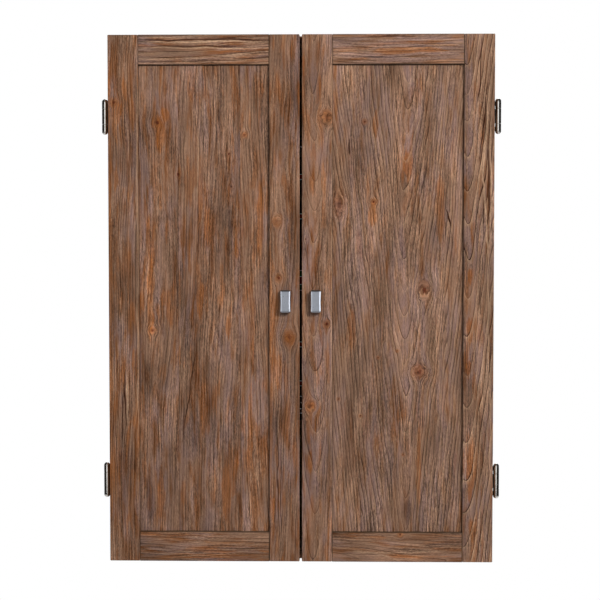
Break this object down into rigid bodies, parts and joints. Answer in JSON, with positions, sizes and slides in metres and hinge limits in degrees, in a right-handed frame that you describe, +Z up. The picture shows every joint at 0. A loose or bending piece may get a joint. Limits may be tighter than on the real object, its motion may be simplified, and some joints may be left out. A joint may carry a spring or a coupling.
{
  "type": "dart board cabinet",
  "caption": "Wall cabinet with frame-and-panel wooden doors that open flat to show a dartboard, chalk scoreboards and dart racks.",
  "frame": {"origin": "the point on the wall directly behind the bull, on the flat back of the case", "axes": "+Z up, +Y into the wall, so the doors face -Y, +X to the viewer's right"},
  "size_m": [0.6348, 0.1265, 0.836],
  "materials": {
    "door_wood": "brushed reclaimed pine with a grey wash, matt",
    "rack_wood": "stained pine, matt",
    "case_wood": "brushed reclaimed pine with a grey wash, matt",
    "backing_wood": "bare pine and plywood",
    "cork": "pressed cork granules",
    "chalkboard": "hardboard with matt black chalkboard paint",
    "pull_metal": "satin nickel, brushed",
    "hinge_metal": "bright nickel plate",
    "screw_steel": "zinc plated",
    "strike_steel": "bright steel plate",
    "catch_plastic": "moulded brown plastic",
    "magnet": "ferrite",
    "bumper_rubber": "soft rubber",
    "bracket_steel": "black powder coat",
    "backer_board": "chipboard, density nearer 650 kg/m3",
    "sisal": "end-on sisal fibre, dyed black, red and green in segments",
    "wire_steel": "bright galvanised wire"
  },
  "bodies": {
    "case": {"back_panel": "backing_wood", "back_panel_screws": "screw_steel", "board_batten": "backing_wood", "board_bracket": "bracket_steel", "board_bracket_screws": "screw_steel", "case_bottom": "case_wood", "case_dowels": "backing_wood", "case_leaf_screws": "screw_steel", "case_left_side": "case_wood", "case_right_side": "case_wood", "case_top": "case_wood", "catch_magnets": "magnet", "catch_screws": "screw_steel", "cork_liner": "cork", "hinge_pins": "hinge_metal", "left_case_leaves": "hinge_metal", "lower_catch": "catch_plastic", "lower_hanging_rail": "backing_wood", "right_case_leaves": "hinge_metal", "upper_catch": "catch_plastic", "upper_hanging_rail": "backing_wood"},
    "left_door": {"left_outer_stile": "door_wood", "left_inner_stile": "door_wood", "left_top_rail": "door_wood", "left_bottom_rail": "door_wood", "left_panel": "door_wood", "left_scoreboard": "chalkboard", "left_dart_rack": "rack_wood", "left_pull": "pull_metal", "left_hinge_leaves": "hinge_metal", "left_strike_plates": "strike_steel", "left_bumpers": "bumper_rubber", "left_pull_screws": "screw_steel", "left_leaf_screws": "screw_steel", "left_rack_screws": "screw_steel", "left_scoreboard_screws": "screw_steel"},
    "right_door": {"right_outer_stile": "door_wood", "right_inner_stile": "door_wood", "right_top_rail": "door_wood", "right_bottom_rail": "door_wood", "right_panel": "door_wood", "right_scoreboard": "chalkboard", "right_dart_rack": "rack_wood", "right_pull": "pull_metal", "right_hinge_leaves": "hinge_metal", "right_strike_plates": "strike_steel", "right_bumpers": "bumper_rubber", "right_pull_screws": "screw_steel", "right_leaf_screws": "screw_steel", "right_rack_screws": "screw_steel", "right_scoreboard_screws": "screw_steel"},
    "dartboard": {"dartboard_backer": "backer_board", "dartboard_sisal": "sisal", "dartboard_rim": "bracket_steel", "dartboard_wires": "wire_steel", "ring_clips": "wire_steel", "board_pivot_screw": "screw_steel", "board_feet": "bumper_rubber"},
    "number_ring": {"number_ring": "wire_steel"}
  },
  "joints": [
    {"name": "left_door_hinge", "type": "hinge", "parent": "case", "child": "left_door", "pos_m": [-0.3127, -0.09125, 0.261], "axis": [0, 0, -1], "range_deg": [0, 180]},
    {"name": "right_door_hinge", "type": "hinge", "parent": "case", "child": "right_door", "pos_m": [0.3127, -0.09125, 0.261], "axis": [0, 0, 1], "range_deg": [0, 180]},
    {"name": "dartboard_turn", "type": "hinge", "parent": "case", "child": "dartboard", "pos_m": [0, -0.036, 0], "axis": [0, 1, 0], "continuous": true},
    {"name": "number_ring_turn", "type": "hinge", "parent": "dartboard", "child": "number_ring", "pos_m": [0, -0.0795, 0], "axis": [0, 1, 0], "continuous": true}
  ]
}
